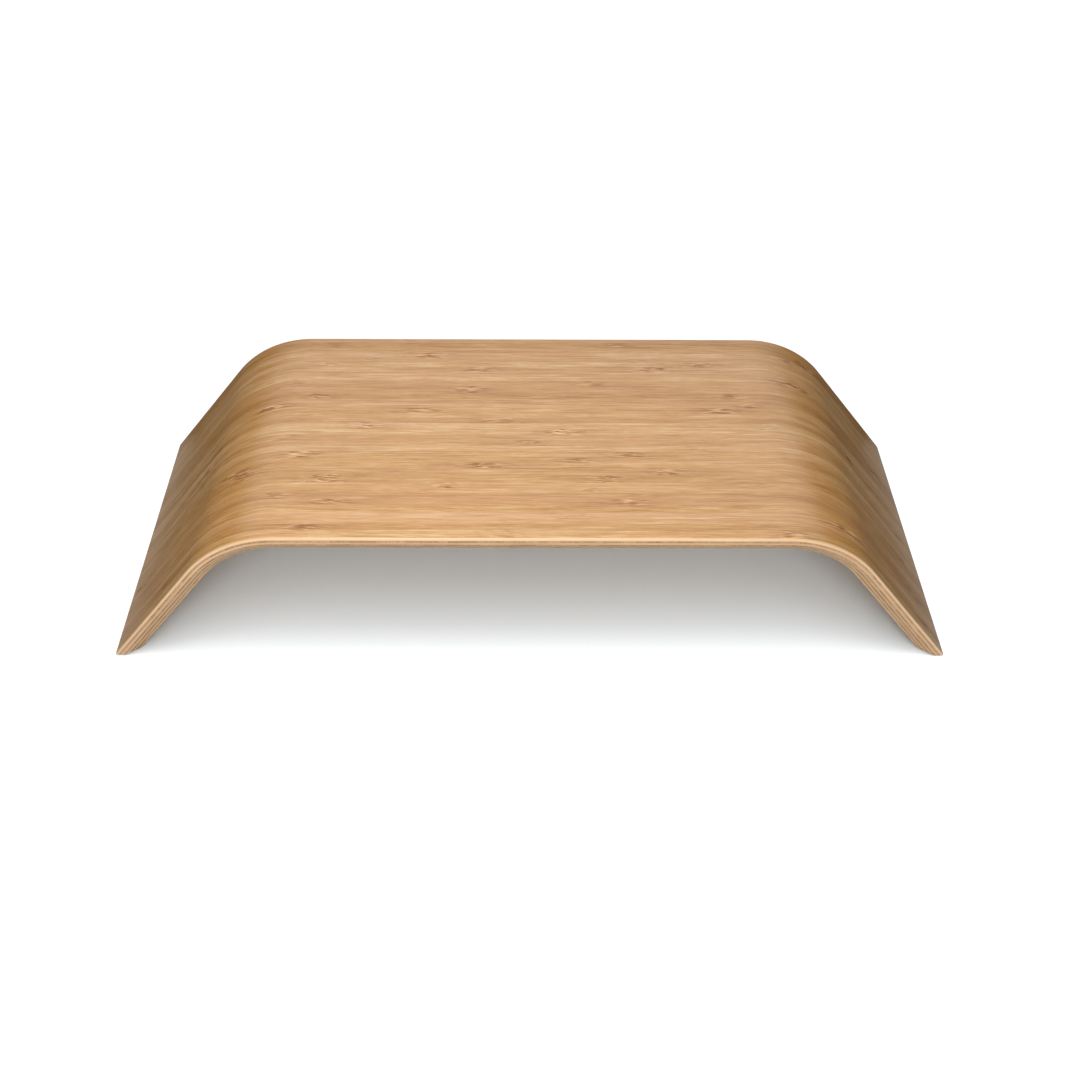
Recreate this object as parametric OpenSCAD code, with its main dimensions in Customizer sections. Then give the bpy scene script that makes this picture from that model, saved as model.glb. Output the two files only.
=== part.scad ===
// Desk riser: one board of bamboo plywood, bent down at both ends into slanted legs.
//
// The origin is on the floor under the middle of the board. X runs along the board,
// the front edge faces -Y and Z is up. The board is a stack of plies, each one solid
// that runs from foot to foot: a face veneer, core plies that lie in turn along and
// across the board, and a second face veneer underneath. The front and rear edges are
// undercut, so only a narrow flat of each edge is seen from above. The legs are cut
// level at the bottom and stand on four thin stick-on pads.

/* [Overall] */
// Length over the feet, along X
stand_w = 513; // [440:1:600]
// Depth from front edge to rear edge, along Y
stand_d = 232; // [180:1:280]
// Height from the floor to the top face
stand_h = 91; // [84:1:130]

/* [Bend] */
// Slope of the legs, measured from level
leg_angle = 51.477; // [50:0.001:65]
// Radius of the bend on its outer face
bend_r = 68; // [50:1:78]

/* [Board] */
// Thickness of the whole board
board_t = 12; // [10:0.5:16]
// Thickness of each face veneer
veneer_t = 0.35; // [0.3:0.05:1]
// Number of core plies between the veneers
core_plies = 9; // [5:2:13]

/* [Edges] */
// Height of the square part of the front and rear edges, below the outer face
edge_flat = 5; // [4:0.5:8]
// How far the undercut sets the inner face back from the edge
undercut = 7; // [5:0.5:12]
// Radius that eases the outer arris of the front and rear edges
arris_r = 1.2; // [0.6:0.1:2]
// Radius that eases the inner corner of each foot
foot_r = 3; // [1:0.5:4]

/* [Pads] */
// Length of a pad, along Y
pad_l = 30; // [20:1:50]
// Width of a pad, across the foot
pad_w = 10; // [8:0.5:12]
// Thickness of a pad
pad_t = 1; // [0.8:0.1:2]
// Distance from the middle of a pad to the front or rear edge
pad_inset = 32; // [28:1:60]

/* [Hidden] */
$fn = 96;
ply_t = (board_t - 2 * veneer_t) / core_plies;
half_d = stand_d / 2;
// Height of the bend's axis
axis_z = stand_h - bend_r;
// How far a leg's outer face falls and reaches sideways, from the end of the bend to the foot
leg_drop = axis_z + bend_r * cos(leg_angle) - pad_t;
leg_reach = leg_drop / tan(leg_angle);
// Distance from the middle of the board to the axis of either bend
axis_x = stand_w / 2 - leg_reach - bend_r * sin(leg_angle);
// Width of the level cut at a foot, from its outer tip to its inner corner
foot_w = board_t / sin(leg_angle);
// The legs are swept past the foot, then cut off level
leg_spare = board_t;
leg_l = leg_drop / sin(leg_angle) + leg_spare;
foot_mid = stand_w / 2 - foot_w / 2;
pad_y = half_d - pad_inset;

function core_name(i) = str("core_ply_", i < 10 ? "0" : "", i);
function pad_name(side, end) = str("pad_", side < 0 ? "left" : "right", end < 0 ? "_front" : "_rear");

face_colour = [0.84, 0.67, 0.49];
long_grain_colour = [0.85, 0.71, 0.56];
cross_grain_colour = [0.62, 0.42, 0.27];
pad_colour = [0.12, 0.12, 0.12];

// Cross-section of the board where the bend starts: X is the distance from the bend's
// axis, so the outer face is at bend_r, and Y runs from edge to edge.
module board_section() {
    inner_r = bend_r - board_t;
    flat_r = bend_r - edge_flat;
    inner_half = half_d - undercut;
    difference() {
        polygon([
            [bend_r, -half_d], [bend_r, half_d], [flat_r, half_d],
            [inner_r, inner_half], [inner_r, -inner_half], [flat_r, -half_d]
        ]);
        for (end = [-1, 1]) outer_arris(end);
    }
}

// The sliver taken off the outer corner of one edge
module outer_arris(end) {
    difference() {
        translate([bend_r - arris_r / 2, end * (half_d - arris_r / 2)])
            square(arris_r, center = true);
        translate([bend_r - arris_r, end * (half_d - arris_r)]) circle(r = arris_r);
    }
}

// The part of the section between two depths below the outer face
module ply_section(from, to) {
    intersection() {
        board_section();
        translate([bend_r - to, -half_d]) square([to - from, stand_d]);
    }
}

// Half of the top, one bend and the leg that follows it
module half_sweep(from, to) {
    translate([axis_x, 0, axis_z]) {
        rotate([0, -90, 0]) linear_extrude(axis_x) ply_section(from, to);
        intersection() {
            rotate([90, 0, 0]) rotate_extrude(angle = 90) ply_section(from, to);
            leg_turn() above_leg();
        }
        leg_turn() rotate([90, 0, 0]) linear_extrude(leg_l) ply_section(from, to);
    }
}

// Turns a shape about the bend's axis, so that its X points out of the leg
module leg_turn() {
    rotate([90, 0, 0]) rotate([0, 0, 90 - leg_angle]) children();
}

// A block that ends where the bend meets the leg
module above_leg() {
    translate([0, 0, -stand_d]) cube([2 * bend_r, 2 * bend_r, 2 * stand_d]);
}

// Everything below the level cut of a foot, and the easing of its inner corner
module foot_cut() {
    corner_x = stand_w / 2 - foot_w;
    tangent = foot_r * tan(leg_angle / 2);
    below = 3 * board_t;
    translate([corner_x - board_t, -stand_d, pad_t - below])
        cube([foot_w + below, 2 * stand_d, below]);
    translate([0, stand_d, 0]) rotate([90, 0, 0]) linear_extrude(2 * stand_d) difference() {
        polygon([
            [corner_x, pad_t],
            [corner_x + tangent, pad_t],
            [corner_x + tangent, pad_t + foot_r],
            [corner_x - tangent * cos(leg_angle), pad_t + tangent * sin(leg_angle)]
        ]);
        translate([corner_x + tangent, pad_t + foot_r]) circle(r = foot_r);
    }
}

// One layer of the board, from foot to foot
module ply(from, to) {
    both_sides() difference() {
        half_sweep(from, to);
        foot_cut();
    }
}

module both_sides() {
    children();
    mirror([1, 0, 0]) children();
}

module top_face_veneer() {
    color(face_colour) ply(0, veneer_t);
}

// Core plies count from the top; the odd ones lie along the board
module core_ply(i) {
    top = veneer_t + (i - 1) * ply_t;
    color(i % 2 == 1 ? long_grain_colour : cross_grain_colour) ply(top, top + ply_t);
}

module bottom_face_veneer() {
    color(face_colour) ply(board_t - veneer_t, board_t);
}

// A pad with round ends, stuck under one end of a foot
module pad(side, end) {
    straight = pad_l - pad_w;
    color(pad_colour) translate([side * foot_mid, end * pad_y, 0]) linear_extrude(pad_t) {
        square([pad_w, straight], center = true);
        for (tip = [-1, 1]) translate([0, tip * straight / 2]) circle(d = pad_w);
    }
}

top_face_veneer();
for (i = [1:core_plies])
    core_ply(i);
bottom_face_veneer();
for (side = [-1, 1], end = [-1, 1])
    pad(side, end);
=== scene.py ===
"""Looks of a desk riser: one board of bamboo plywood, bent down at both ends into slanted legs.

Every ply is a mesh of its own that stands for one CAD node. It is swept from foot to foot along the
same path as the CAD solid, with the corners eased the way sandpaper leaves them. The materials are
drawn on the unrolled board, so that the grain follows the bends. Lengths are in metres.
"""

import math

import bpy
import numpy as np
from mathutils import Matrix, Vector


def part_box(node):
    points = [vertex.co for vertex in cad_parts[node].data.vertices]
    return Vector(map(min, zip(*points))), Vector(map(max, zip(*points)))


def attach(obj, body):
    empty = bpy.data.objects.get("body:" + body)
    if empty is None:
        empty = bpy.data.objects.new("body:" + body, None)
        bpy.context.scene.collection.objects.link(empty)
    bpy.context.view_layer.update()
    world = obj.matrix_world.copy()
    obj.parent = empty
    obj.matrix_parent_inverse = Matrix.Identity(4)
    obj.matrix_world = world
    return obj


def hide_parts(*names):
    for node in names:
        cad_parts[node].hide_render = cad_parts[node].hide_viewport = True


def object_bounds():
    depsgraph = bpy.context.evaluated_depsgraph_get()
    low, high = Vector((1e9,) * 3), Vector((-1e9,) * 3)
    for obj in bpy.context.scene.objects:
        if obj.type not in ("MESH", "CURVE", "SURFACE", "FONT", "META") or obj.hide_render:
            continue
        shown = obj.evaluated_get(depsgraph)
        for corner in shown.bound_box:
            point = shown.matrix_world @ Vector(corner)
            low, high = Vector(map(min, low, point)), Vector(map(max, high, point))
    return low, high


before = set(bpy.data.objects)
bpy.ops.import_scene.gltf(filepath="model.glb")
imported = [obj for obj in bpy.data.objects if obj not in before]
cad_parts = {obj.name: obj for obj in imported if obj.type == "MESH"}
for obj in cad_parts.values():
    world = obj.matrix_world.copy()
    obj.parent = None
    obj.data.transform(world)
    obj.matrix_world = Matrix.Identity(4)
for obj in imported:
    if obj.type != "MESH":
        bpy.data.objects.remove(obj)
cad_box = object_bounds()

MM = 0.001

# The board, as the CAD has it
HALF_LENGTH, HALF_DEPTH, HEIGHT = cad_box[1]
BOARD_T = 12 * MM
BEND_R = 68 * MM
LEG_ANGLE = math.radians(51.477)
EDGE_FLAT = 5 * MM
UNDERCUT = 7 * MM
ARRIS_R = 1.2 * MM
FOOT_R = 3 * MM
FOOT_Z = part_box("core_ply_01")[0].z

# The axis of the right-hand bend
AXIS_Z = HEIGHT - BEND_R
LEG_DROP = AXIS_Z + BEND_R * math.cos(LEG_ANGLE) - FOOT_Z
AXIS_X = HALF_LENGTH - LEG_DROP / math.tan(LEG_ANGLE) - BEND_R * math.sin(LEG_ANGLE)

# Easings that only the looks have
FLAT_EASING = 1.5 * MM
INNER_EASING = 2 * MM
TIP_EASING = 0.3 * MM
PAD_EASING = 0.2 * MM

# How finely the meshes are cut
TOP_STEPS, BEND_STEPS, LEG_STEPS = 14, 30, 12
ACROSS_STEPS = 24
ARC_STEPS = 14
PAD_ROUND_STEPS, PAD_EASING_STEPS = 64, 6
# The last cut across the board before its front and rear edges, as a share of its half width
LAST_CUT = 0.99
# Cuts that come closer than this to a face of a ply are left out
CLOSEST_CUT = 0.01 * MM

# The bamboo strips that a ply is glued up from
STRIP_WIDTH = 6.4 * MM
KNUCKLE_GAP = 210 * MM
# Width of the glue line between two strips, as a share of a strip's width
GLUE_LINE = 0.03
# How far the grain of each ply is shifted along the board from that of the ply above it
GRAIN_SHIFT = 0.83
# How much lighter or darker each ply that lies across the board is, from the top down
CROSS_PLY_SHADES = [0.10, 0.0, -0.12, -0.06]

# Linear colours. In a list, the number in front of each is its place on a scale from dark to light
FACE_TONES = [
    (0.00, (0.30, 0.128, 0.027)), (0.35, (0.44, 0.223, 0.062)),
    (0.65, (0.53, 0.303, 0.118)), (1.00, (0.66, 0.438, 0.242)),
]
REDDISH_STRIP = (0.50, 0.248, 0.122)
FACE_GLUE = (0.30, 0.14, 0.05)
DARK_LINE = (0.28, 0.115, 0.030)
DARK_KNUCKLE = (0.24, 0.080, 0.015)
LIGHT_KNUCKLE = (0.74, 0.46, 0.22)
# Lighter colour of the arris on the faces: rubbed wear, with a painted highlight in it
RUBBED_AND_HIGHLIT_FACE = (0.70, 0.46, 0.26)
LONG_GRAIN_TONES = [
    (0.20, (0.38, 0.22, 0.105)), (0.50, (0.54, 0.34, 0.175)), (0.80, (0.70, 0.48, 0.28)),
]
# Lighter colour of the arris on the sides of the plies: rubbed wear, with a painted highlight in it
RUBBED_AND_HIGHLIT_EDGE = (0.72, 0.48, 0.28)
CROSS_GRAIN_TONES = [
    (0.15, (0.22, 0.110, 0.050)), (0.45, (0.34, 0.185, 0.090)), (0.85, (0.50, 0.30, 0.165)),
]
VESSEL = (0.14, 0.065, 0.028)
CROSS_GRAIN_GLUE = (0.16, 0.08, 0.038)
RUBBER_TONES = [(0.30, (0.012, 0.012, 0.013)), (0.70, (0.035, 0.034, 0.033))]

FACES = ["top_face_veneer", "bottom_face_veneer"]
CORES = sorted(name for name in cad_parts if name.startswith("core_ply"))
PADS = sorted(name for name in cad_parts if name.startswith("pad"))


# Camera, at the angle of the photograph

def add_camera():
    elevation, heading, roll = math.radians(37.202), math.radians(0.785), math.radians(0.573)
    target, distance = Vector((5.04, 0, 4.13)) * MM, 1070.4 * MM
    level = Vector((math.sin(heading), math.cos(heading), 0))
    ahead = level * math.cos(elevation) - Vector((0, 0, math.sin(elevation)))
    side = Vector((math.cos(heading), -math.sin(heading), 0))
    above = side.cross(ahead)
    right = side * math.cos(roll) + above * math.sin(roll)
    up = above * math.cos(roll) - side * math.sin(roll)
    data = bpy.data.cameras.new("camera")
    data.sensor_width, data.lens = 36, 53.02
    camera = bpy.data.objects.new("camera", data)
    turn = Matrix((right, up, -ahead)).transposed().to_4x4()
    camera.matrix_world = Matrix.Translation(target - ahead * distance) @ turn
    bpy.context.scene.collection.objects.link(camera)
    bpy.context.scene.camera = camera


# Studio: the floor and the board have lamps of their own, as for a cut-out picture

def add_lamp(name, kind, lights, place, aim, strength, **shape):
    """A lamp that shines on one collection only, and that the camera doesn't see."""
    data = bpy.data.lights.new(name, kind)
    data.energy = strength
    for key, value in shape.items():
        setattr(data, key, value)
    lamp = bpy.data.objects.new(name, data)
    lamp.location = place
    lamp.rotation_euler = (Vector(aim) - Vector(place)).to_track_quat("-Z", "Y").to_euler()
    lamp.visible_camera = False
    lamp.light_linking.receiver_collection = lights
    bpy.context.scene.collection.objects.link(lamp)
    return lamp


def add_softbox(name, place, aim, width, depth, watts):
    return add_lamp(name, "AREA", BOARD, place, aim, watts, shape="RECTANGLE", size=width, size_y=depth)


def add_sun(name, place, spread, strength, colour):
    add_lamp(name, "SUN", FLOOR, place, (0, 0, 0), strength, angle=math.radians(spread), color=colour)


def add_world():
    """A white surround that the camera sees and that lights nothing."""
    world = bpy.data.worlds.new("studio")
    world.use_nodes = True
    world.node_tree.nodes["Background"].inputs["Color"].default_value = (1, 1, 1, 1)
    world.cycles_visibility.diffuse = False
    world.cycles_visibility.glossy = False
    bpy.context.scene.world = world


def add_lamps():
    add_softbox("key", (-0.06, -0.18, 0.64), (-0.04, -0.10, HEIGHT), width=0.46, depth=0.6, watts=4.25)
    add_softbox("back", (0, 1.4, 1.15), (0, 0, HEIGHT), width=2.4, depth=0.8, watts=11)
    front = add_softbox("front", (0, -0.85, 0.42), (0, -0.12, 0.05), width=0.8, depth=0.35, watts=5)
    # From behind, its mirror image in the top would be blown out
    front.visible_glossy = False
    add_sun("floor_above", (0, 0, 1), spread=40, strength=1.6, colour=(1, 1, 1))
    add_sun("floor_high", (0, -1, 1.75), spread=60, strength=2.5, colour=(0.90, 0.96, 1))
    add_sun("floor_low", (0, -1, 0.4), spread=32, strength=2.35, colour=(0.74, 0.91, 1))


def add_floor(name, reach, rear, level, grey, mirrored):
    """A level sheet under the board. It goes to y = rear behind it, and reach far to the other sides.

    Only reflections see it if it is mirrored. Otherwise everything but reflections sees it.
    """
    corners = [(-reach, -reach), (reach, -reach), (reach, rear), (-reach, rear)]
    mesh = bpy.data.meshes.new(name)
    mesh.from_pydata([(x, y, level) for x, y in corners], [], [(0, 1, 2, 3)])
    floor = bpy.data.objects.new(name, mesh)
    FLOOR.objects.link(floor)
    floor.visible_glossy = mirrored
    floor.visible_camera = floor.visible_diffuse = floor.visible_shadow = not mirrored
    nodes = Nodes(name)
    nodes.finish_surface((grey, grey, grey, 1), 0.9)
    mesh.materials.append(nodes.material)


def add_collection(name):
    collection = bpy.data.collections.new(name)
    bpy.context.scene.collection.children.link(collection)
    return collection


# Materials

class Nodes:
    """A small writer of node trees. Most calls add a node or two and give back what comes out."""

    def __init__(self, name):
        self.material = bpy.data.materials.new(name)
        self.material.use_nodes = True
        self.tree = self.material.node_tree
        self.surface = self.tree.nodes["Principled BSDF"]

    def add(self, kind, inputs, output=0, **settings):
        node = self.tree.nodes.new("ShaderNode" + kind)
        for key, value in settings.items():
            setattr(node, key, value)
        for key, value in inputs.items():
            self.feed(node.inputs[key], value)
        return node.outputs[output]

    def feed(self, socket, value):
        if isinstance(value, bpy.types.NodeSocket):
            self.tree.links.new(value, socket)
        else:
            socket.default_value = value

    def math(self, operation, *values):
        return self.add("Math", dict(enumerate(values)), operation=operation)

    def times(self, a, b):
        return self.math("MULTIPLY", a, b)

    def plus(self, a, b):
        return self.math("ADD", a, b)

    def scaled(self, value, factor, offset=0.0):
        return self.math("MULTIPLY_ADD", value, factor, offset)

    def step(self, value, start, end, low=0.0, high=1.0):
        """A soft step from low to high while value goes from start to end."""
        inputs = {"Value": value, "From Min": start, "From Max": end, "To Min": low, "To Max": high}
        return self.add("MapRange", inputs, interpolation_type="SMOOTHSTEP")

    def bell(self, value, width):
        """1 where value is 0, falling away over width on both sides."""
        ratio = self.scaled(value, 1 / width)
        return self.math("EXPONENT", self.scaled(self.times(ratio, ratio), -1.0))

    def vector(self, x, y, z=0.0):
        return self.add("CombineXYZ", {"X": x, "Y": y, "Z": z})

    def noise(self, x, y, z=0.0, detail=2.0, roughness=0.5):
        """Smooth noise with about one blob to each unit of x, y and z."""
        inputs = {"Vector": self.vector(x, y, z), "Scale": 1.0, "Detail": detail, "Roughness": roughness}
        return self.add("TexNoise", inputs)

    def random(self, x, y=0.0):
        return self.add("TexWhiteNoise", {"Vector": self.vector(x, y)}, "Value", noise_dimensions="2D")

    def ramp(self, value, stops):
        node = self.tree.nodes.new("ShaderNodeValToRGB")
        elements = node.color_ramp.elements
        while len(elements) < len(stops):
            elements.new(1)
        for element, (place, colour) in zip(elements, stops):
            element.position, element.color = place, (*colour, 1)
        self.feed(node.inputs["Fac"], value)
        return node.outputs["Color"]

    def tinted(self, colour, share, tint):
        """A colour with a share of a tint mixed in."""
        node = self.tree.nodes.new("ShaderNodeMix")
        node.data_type = "RGBA"
        self.feed(node.inputs["Factor"], share)
        for key, value in (("A", colour), ("B", (*tint, 1))):
            self.feed(next(i for i in node.inputs if i.name == key and i.type == "RGBA"), value)
        return next(o for o in node.outputs if o.type == "RGBA")

    def skin(self):
        """Where a point is on the unrolled board, in metres: along the board, and across it."""
        parts = self.tree.nodes.new("ShaderNodeSeparateXYZ")
        self.feed(parts.inputs[0], self.add("UVMap", {}, uv_map="skin"))
        return parts.outputs["X"], parts.outputs["Y"]

    def bump(self, height, distance):
        return self.add("Bump", {"Height": height, "Distance": distance, "Strength": 1.0}, "Normal")

    def finish_surface(self, colour, roughness, normal=None, coat=0.0, coat_roughness=0.2, level=0.5):
        self.feed(self.surface.inputs["Base Color"], colour)
        self.feed(self.surface.inputs["Roughness"], roughness)
        self.surface.inputs["Coat Weight"].default_value = coat
        self.surface.inputs["Coat Roughness"].default_value = coat_roughness
        self.surface.inputs["Specular IOR Level"].default_value = level
        if normal is not None:
            self.feed(self.surface.inputs["Normal"], normal)


def rubbed_and_highlit_arris(n, across):
    """1 on the outer arris of the front and rear edges, which is lighter there: partly wear from
    handling, partly a painted highlight.
    """
    from_middle = n.math("ABSOLUTE", across)
    start = HALF_DEPTH - ARRIS_R
    rise = n.step(from_middle, start - 0.3 * MM, start + 0.5 * MM)
    return n.times(rise, n.step(from_middle, start + 2.4 * MM, start + 1.6 * MM))


def glued_strips(n, place):
    """The strip that a place is in, with places counted in strips, and 1 on its glue lines."""
    strip, inside = n.math("FLOOR", place), n.math("FRACT", place)
    rim = n.math("SUBTRACT", 0.5, n.math("ABSOLUTE", n.math("SUBTRACT", inside, 0.5)))
    return strip, n.bell(rim, GLUE_LINE)


def nearest_knuckle(n, along, strip, seed):
    """How far a point is from the nearest knuckle of its strip, and how strong that knuckle is."""
    beat = n.plus(n.scaled(along, 1 / KNUCKLE_GAP), n.scaled(n.random(strip, seed + 2.5), 7))
    number = n.math("FLOOR", beat)
    jitter = n.scaled(n.random(strip, n.plus(number, seed + 8.5)), 0.5, -0.25)
    away = n.scaled(n.plus(n.scaled(n.math("FRACT", beat), 1.0, -0.5), jitter), KNUCKLE_GAP)
    strength = n.random(n.plus(strip, 31.5), n.plus(number, seed))
    return away, n.scaled(n.math("POWER", strength, 1.6), 1.2, 0.1)


def knuckle_marks(n, along, fibre, own, streaks, away, strength):
    """The dark marks of a knuckle, short dashes and streaks that run out of it, and its light dashes."""
    dashes = n.noise(n.scaled(along, 110), n.scaled(fibre, 1100), n.plus(own, 9.0), detail=1.0)
    near = n.times(n.bell(away, 11 * MM), strength)
    dark = n.times(near, n.step(dashes, 0.52, 0.60))
    light = n.times(near, n.step(dashes, 0.46, 0.38))
    tail = n.times(n.bell(away, 32 * MM), n.step(streaks, 0.50, 0.62))
    return n.plus(dark, n.scaled(n.times(tail, strength), 0.7)), light


def swerving_fibre(n, along, across, away, seed):
    """Where a fibre lies across the board: it swerves at a knuckle."""
    swerve = n.scaled(n.noise(n.scaled(along, 140), n.scaled(across, 260), seed), 2.4 * MM, -1.2 * MM)
    return n.plus(across, n.times(swerve, n.bell(away, 6 * MM)))


def bamboo_face(name, seed):
    """Narrow bamboo strips glued side by side, each with fine fibres and a knuckle now and then."""
    n = Nodes(name)
    along, across = n.skin()

    # Strips of uneven width, each with a tone, a hue and noise of its own
    sway = n.noise(n.scaled(across, 40), seed, detail=1.0)
    place = n.plus(n.scaled(across, 1 / STRIP_WIDTH, seed * 13.7), n.scaled(sway, 1.8))
    strip, glue_line = glued_strips(n, place)
    joint = n.times(glue_line, n.random(strip, seed + 5.5))
    tone, hue = n.random(strip, seed), n.random(strip, seed + 3.5)
    own = n.scaled(tone, 40)

    # Bands, streaks, fine fibres and long dark lines here and there. Factors are in blobs to the metre
    away, strength = nearest_knuckle(n, along, strip, seed)
    fibre = swerving_fibre(n, along, across, away, seed)
    drift = n.noise(n.scaled(along, 9), n.scaled(across, 60), seed)
    bands = n.noise(n.scaled(along, 24), n.scaled(fibre, 330), own)
    streaks = n.noise(n.scaled(along, 52), n.scaled(fibre, 1000), own, detail=3.0, roughness=0.6)
    fibres = n.noise(n.scaled(along, 150), n.scaled(fibre, 3000), own, detail=3.0, roughness=0.6)
    lines = n.noise(n.scaled(along, 14), n.scaled(fibre, 1300), n.plus(own, 20.0), detail=1.0)
    knuckle, light_dash = knuckle_marks(n, along, fibre, own, streaks, away, strength)

    level = n.plus(n.scaled(drift, 0.40), n.scaled(tone, 0.36))
    level = n.plus(level, n.scaled(bands, 0.80))
    level = n.plus(level, n.scaled(streaks, 1.30))
    level = n.plus(level, n.scaled(fibres, 0.90, -1.40))
    colour = n.ramp(level, FACE_TONES)
    colour = n.tinted(colour, n.scaled(hue, 0.34), REDDISH_STRIP)
    colour = n.tinted(colour, n.scaled(joint, 0.45), FACE_GLUE)
    colour = n.tinted(colour, n.scaled(n.step(lines, 0.61, 0.70), 0.6), DARK_LINE)
    colour = n.tinted(colour, n.math("MINIMUM", knuckle, 0.95), DARK_KNUCKLE)
    colour = n.tinted(colour, n.scaled(light_dash, 0.65), LIGHT_KNUCKLE)
    # Lighter along the arris: rubbed wear and a painted highlight
    colour = n.tinted(colour, n.scaled(rubbed_and_highlit_arris(n, across), 0.8), RUBBED_AND_HIGHLIT_FACE)

    rough = n.plus(n.scaled(streaks, 0.12, 0.32), n.scaled(knuckle, 0.10))
    relief = n.plus(n.scaled(fibres, 0.5), n.scaled(streaks, 0.5))
    relief = n.math("SUBTRACT", relief, n.plus(joint, n.scaled(knuckle, 0.6)))
    n.finish_surface(colour, rough, n.bump(relief, 0.03 * MM), coat=0.12, coat_roughness=0.25)
    return n.material


def long_grain_edge():
    """The side of a ply whose strips lie along the board: fine straight fibres."""
    n = Nodes("long_grain_edge")
    along, across = n.skin()
    drift = n.noise(n.scaled(along, 12), n.scaled(across, 300), 1.0)
    fibres = n.noise(n.scaled(along, 40), n.scaled(across, 3500), 2.0, detail=3.0)
    fine = n.noise(n.scaled(along, 200), n.scaled(across, 9000), 3.0, detail=2.0)
    level = n.plus(n.scaled(drift, 0.5), n.scaled(fibres, 0.7))
    level = n.plus(level, n.scaled(fine, 0.2, -0.25))
    colour = n.ramp(level, LONG_GRAIN_TONES)
    # Lighter along the arris: rubbed wear and a painted highlight
    colour = n.tinted(colour, n.scaled(rubbed_and_highlit_arris(n, across), 0.8), RUBBED_AND_HIGHLIT_EDGE)
    n.finish_surface(colour, n.scaled(fine, 0.15, 0.34), n.bump(fibres, 0.03 * MM), coat=0.08)
    return n.material


def cross_grain_edge(name, shade):
    """The side of a ply whose strips lie across the board: their cut ends, with dark vessels."""
    n = Nodes(name)
    along, across = n.skin()
    sway = n.noise(n.scaled(along, 50), 4.0)
    strip, glue_line = glued_strips(n, n.plus(n.scaled(along, 1 / STRIP_WIDTH), n.scaled(sway, 2.0)))
    tone = n.random(strip)
    drift = n.noise(n.scaled(along, 14), 6.0)
    comb = n.noise(n.scaled(along, 1000), n.scaled(across, 300), tone, detail=2.0)
    dots = {"Vector": n.vector(n.scaled(along, 1900), n.scaled(across, 2300)), "Scale": 1.0}
    vessels = n.step(n.add("TexVoronoi", dots, "Distance"), 0.16, 0.34, 1.0, 0.0)
    level = n.plus(n.scaled(tone, 0.25), n.scaled(comb, 0.9))
    level = n.plus(level, n.scaled(drift, 0.5, shade - 0.32))
    colour = n.ramp(level, CROSS_GRAIN_TONES)
    colour = n.tinted(colour, n.scaled(vessels, 0.35), VESSEL)
    colour = n.tinted(colour, n.scaled(glue_line, 0.4), CROSS_GRAIN_GLUE)
    relief = n.math("SUBTRACT", comb, vessels)
    n.finish_surface(colour, n.scaled(comb, 0.2, 0.42), n.bump(relief, 0.05 * MM), coat=0.05)
    return n.material


def pad_rubber():
    n = Nodes("pad_rubber")
    place = n.add("TexCoord", {}, "Object")
    grain = n.add("TexNoise", {"Vector": place, "Scale": 2500.0, "Detail": 3.0})
    blotch = n.add("TexNoise", {"Vector": place, "Scale": 120.0, "Detail": 2.0})
    colour = n.ramp(n.plus(n.scaled(grain, 0.6), n.scaled(blotch, 0.4)), RUBBER_TONES)
    n.finish_surface(colour, n.scaled(grain, 0.2, 0.62), n.bump(grain, 0.05 * MM), level=0.4)
    return n.material


# The board's section and path

def edge_outline():
    """The outline of an edge from the outer face to the inner one.

    It gives each point's depth below the outer face, its distance from the middle of the board, and
    the length of the outline up to it.
    """
    quarter = np.linspace(0, math.pi / 2, ARC_STEPS + 1)
    eighth = quarter[: ARC_STEPS // 2 + 1]
    tangent = math.tan(math.pi / 8)
    depth = [
        ARRIS_R * (1 - np.cos(quarter)),
        EDGE_FLAT - FLAT_EASING * tangent + FLAT_EASING * np.sin(eighth),
        BOARD_T - INNER_EASING + INNER_EASING * np.sin(math.pi / 4 + eighth),
    ]
    inner_centre = HALF_DEPTH - UNDERCUT - INNER_EASING * tangent
    half = [
        HALF_DEPTH - ARRIS_R + ARRIS_R * np.sin(quarter),
        HALF_DEPTH - FLAT_EASING + FLAT_EASING * np.cos(eighth),
        inner_centre + INNER_EASING * np.cos(math.pi / 4 + eighth),
    ]
    depth, half = np.concatenate(depth), np.concatenate(half)
    length = np.concatenate([[0], np.cumsum(np.hypot(np.diff(depth), np.diff(half)))])
    return depth, half, length


def ply_depths(top, bottom):
    """Depths at which a ply is cut: those of the corners in the edge's outline and the eased foot."""
    eased = BOARD_T - FOOT_R + FOOT_R * np.cos(np.linspace(LEG_ANGLE, 0, ARC_STEPS // 2))
    tip = TIP_EASING * (1 - np.cos(np.linspace(0, math.pi - LEG_ANGLE, ARC_STEPS // 2)))
    cuts = np.concatenate([edge_outline()[0], eased, tip])
    inside = cuts[(cuts > top + CLOSEST_CUT) & (cuts < bottom - CLOSEST_CUT)]
    return np.unique(np.concatenate([[top], inside.round(7), [bottom]]))


def leg_length(depth):
    """Length of a leg below its bend, at each depth, down to the level cut and its two easings."""
    def to_cut(w):
        return (AXIS_Z + (BEND_R - w) * math.cos(LEG_ANGLE) - FOOT_Z) / math.sin(LEG_ANGLE)

    def eased(w, centre, radius):
        start = to_cut(centre) - radius / math.sin(LEG_ANGLE)
        return start + np.sqrt(np.maximum(radius ** 2 - (w - centre) ** 2, 0))

    inner_start = BOARD_T - FOOT_R * (1 - math.cos(LEG_ANGLE))
    tip_end = TIP_EASING * (1 + math.cos(LEG_ANGLE))
    length = np.where(depth > inner_start, eased(depth, BOARD_T - FOOT_R, FOOT_R), to_cut(depth))
    return np.where(depth < tip_end, eased(depth, TIP_EASING, TIP_EASING), length)


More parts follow.
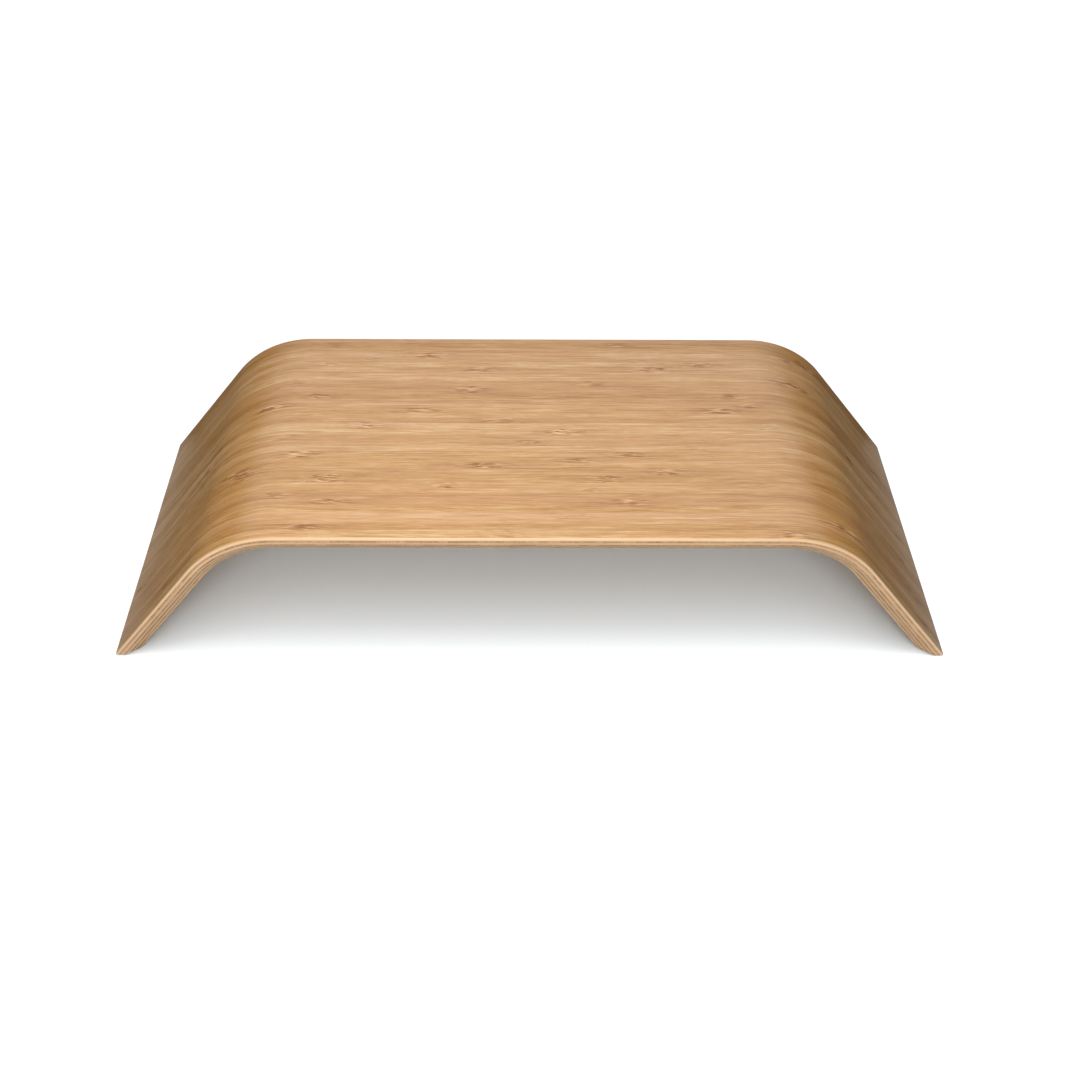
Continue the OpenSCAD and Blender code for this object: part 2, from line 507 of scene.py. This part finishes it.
def half_path(depth):
    """X, Z and place along the outer face, from the middle of the board to the right foot."""
    turn = np.linspace(0, LEG_ANGLE, BEND_STEPS + 1)[1:]
    radius = BEND_R - depth
    flat = np.linspace(0, AXIS_X, TOP_STEPS + 1)
    leg = np.linspace(0, 1, LEG_STEPS + 1)[1:] * leg_length(depth)
    leg_x = AXIS_X + radius * math.sin(LEG_ANGLE) + leg * math.cos(LEG_ANGLE)
    leg_z = AXIS_Z + radius * math.cos(LEG_ANGLE) - leg * math.sin(LEG_ANGLE)
    x = np.concatenate([flat, AXIS_X + radius * np.sin(turn), leg_x])
    z = np.concatenate([0 * flat + HEIGHT - depth, AXIS_Z + radius * np.cos(turn), leg_z])
    along = np.concatenate([flat, AXIS_X + BEND_R * turn, AXIS_X + BEND_R * LEG_ANGLE + leg])
    return x, z, along


def whole_path(depth):
    """The same for the whole board, from the left foot to the right one."""
    x, z, along = half_path(depth)
    return (
        np.concatenate([-x[:0:-1], x]),
        np.concatenate([z[:0:-1], z]),
        np.concatenate([-along[:0:-1], along]),
    )


# Meshes

def quads(patch):
    """Quads between the neighbours of a grid of vertex numbers."""
    corners = patch[:-1, :-1], patch[1:, :-1], patch[1:, 1:], patch[:-1, 1:]
    return np.stack(corners, -1).reshape(-1, 4)


def shade_smooth(mesh, sharp_degrees):
    """Smooth shading, but for edges that turn by more than an angle."""
    mesh.shade_smooth()
    mesh.set_sharp_from_angle(angle=math.radians(sharp_degrees))


def ply_grid(top, bottom, shift):
    """A ply's points by place along the board, depth and place across it, with two skins for them.

    The first skin is for the faces and the feet. The second, for the front and rear sides, goes on
    round the edge of the board.
    """
    depths = ply_depths(top, bottom)
    outline_depth, outline_half, outline_length = edge_outline()
    half = np.interp(depths, outline_depth, outline_half)
    wrapped = HALF_DEPTH - ARRIS_R + np.interp(depths, outline_depth, outline_length)
    across = np.concatenate([[-1], np.linspace(-LAST_CUT, LAST_CUT, ACROSS_STEPS), [1]])
    x, z, along = np.array([whole_path(depth) for depth in depths]).transpose(1, 2, 0)
    y = half[:, None] * across
    points = np.stack(np.broadcast_arrays(x[:, :, None], y[None], z[:, :, None]), -1)
    shape = points.shape[:3]
    along = np.broadcast_to(along[:, :, None], shape) + shift
    flat_skin = np.stack([along, np.broadcast_to(y, shape)], -1)
    side_skin = np.stack([along, np.broadcast_to(wrapped[:, None] * np.sign(across), shape)], -1)
    return points, flat_skin, side_skin


def ply_mesh(name, top, bottom, shift):
    """A closed mesh of one ply. Its UV map "skin" is the unrolled board, in metres."""
    points, flat_skin, side_skin = ply_grid(top, bottom, shift)
    grid = np.arange(points[..., 0].size).reshape(points.shape[:3])
    # The outer and inner face, the front and rear side, and the left and right foot
    patches = [
        (grid[:, 0, ::-1], flat_skin), (grid[:, -1, :], flat_skin),
        (grid[:, :, 0], side_skin), (grid[:, ::-1, -1], side_skin),
        (grid[0, ::-1, :], flat_skin), (grid[-1, :, :], flat_skin),
    ]
    faces = np.concatenate([quads(patch) for patch, _ in patches])
    skin = np.concatenate([uv.reshape(-1, 2)[quads(patch).ravel()] for patch, uv in patches])
    used, renumbered = np.unique(faces, return_inverse=True)
    mesh = bpy.data.meshes.new(name)
    mesh.from_pydata(points.reshape(-1, 3)[used].tolist(), [], renumbered.reshape(-1, 4).tolist())
    mesh.uv_layers.new(name="skin").data.foreach_set("uv", skin.astype(np.float32).ravel())
    shade_smooth(mesh, 30)
    return mesh


def pad_mesh(name, low, high):
    """A flat pad with round ends and softened rims, closed above and below."""
    radius, straight = (high.x - low.x) / 2, (high.y - low.y) / 2 - (high.x - low.x) / 2
    centre = (low + high) / 2
    # Half a step on, so that no point lies where a round end meets the straight part
    first = math.pi / PAD_ROUND_STEPS
    turn = np.linspace(0, 2 * math.pi, PAD_ROUND_STEPS, endpoint=False) + first
    easing = np.linspace(0, math.pi / 2, PAD_EASING_STEPS)
    inset = PAD_EASING * (1 - np.sin(easing))
    rise = PAD_EASING * (1 - np.cos(easing))
    rings = list(zip(inset, low.z + rise)) + list(zip(inset[::-1], high.z - rise[::-1]))
    points = []
    for pulled_in, z in rings:
        r = radius - pulled_in
        for angle in turn:
            end = math.copysign(straight, math.sin(angle))
            points.append((centre.x + r * math.cos(angle), centre.y + end + r * math.sin(angle), z))
    grid = np.arange(len(points)).reshape(len(rings), len(turn))
    wrapped = np.concatenate([grid, grid[:, :1]], axis=1)
    faces = quads(wrapped.T).tolist() + [grid[0, ::-1].tolist(), grid[-1].tolist()]
    mesh = bpy.data.meshes.new(name)
    mesh.from_pydata(points, [], faces)
    shade_smooth(mesh, 50)
    return mesh


# Pieces

def add_piece(name, mesh, material, slot, node):
    mesh.materials.append(material)
    piece = bpy.data.objects.new(name, mesh)
    BOARD.objects.link(piece)
    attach(piece, "root")
    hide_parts(node)


def add_board():
    nodes = [FACES[0], *CORES, FACES[1]]
    tops = [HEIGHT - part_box(node)[1].z for node in nodes] + [BOARD_T]
    long_edge = long_grain_edge()
    looks = {
        FACES[0]: (bamboo_face("bamboo_top", 0.0), "bamboo_face"),
        FACES[1]: (bamboo_face("bamboo_underside", 4.0), "bamboo_face"),
    }
    for node in CORES[::2]:
        looks[node] = long_edge, "core_long_grain"
    for node, shade in zip(CORES[1::2], CROSS_PLY_SHADES):
        looks[node] = cross_grain_edge("cross_grain_" + node, shade), "core_cross_grain"
    for i, node in enumerate(nodes):
        mesh = ply_mesh(node + "_look", tops[i], tops[i + 1], GRAIN_SHIFT * i)
        add_piece(node + "_look", mesh, *looks[node], node)


def add_pads():
    rubber = pad_rubber()
    for node in PADS:
        mesh = pad_mesh(node + "_look", *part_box(node))
        add_piece(node + "_look", mesh, rubber, "pad_rubber", node)


bpy.context.scene.view_settings.view_transform = "Standard"
BOARD, FLOOR = add_collection("board"), add_collection("floor")
add_camera()
add_world()
add_lamps()
add_floor("pale_floor", reach=20, rear=20, level=0, grey=0.88, mirrored=False)
add_floor("dim_floor", reach=0.275, rear=0.14, level=0.1 * MM, grey=0.27, mirrored=True)
add_board()
add_pads()
